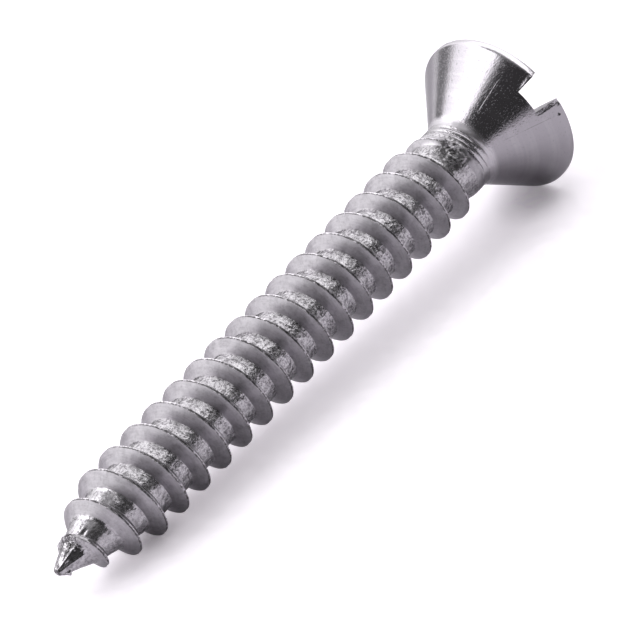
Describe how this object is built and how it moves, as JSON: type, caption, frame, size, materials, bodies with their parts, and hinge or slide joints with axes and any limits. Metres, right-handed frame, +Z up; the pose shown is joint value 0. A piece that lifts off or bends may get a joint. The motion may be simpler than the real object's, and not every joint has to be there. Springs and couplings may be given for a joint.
{
  "type": "self-tapping screw",
  "caption": "Slotted raised countersunk self-tapping screw with a coarse thread and a cone point, for sheet metal.",
  "frame": {"origin": "on the table under the middle of the screw, which lies on the rim of its head and on a crest by its point", "axes": "+Z up; the screw lies along X with its point towards -X and its head towards +X; its axis climbs 4.1 degrees towards the head"},
  "size_m": [0.0318, 0.0078, 0.0078],
  "materials": {
    "steel": "plain steel, drawn and rolled, semi-bright"
  },
  "bodies": {
    "root": {"self_tapping_screw": "steel"}
  },
  "joints": []
}
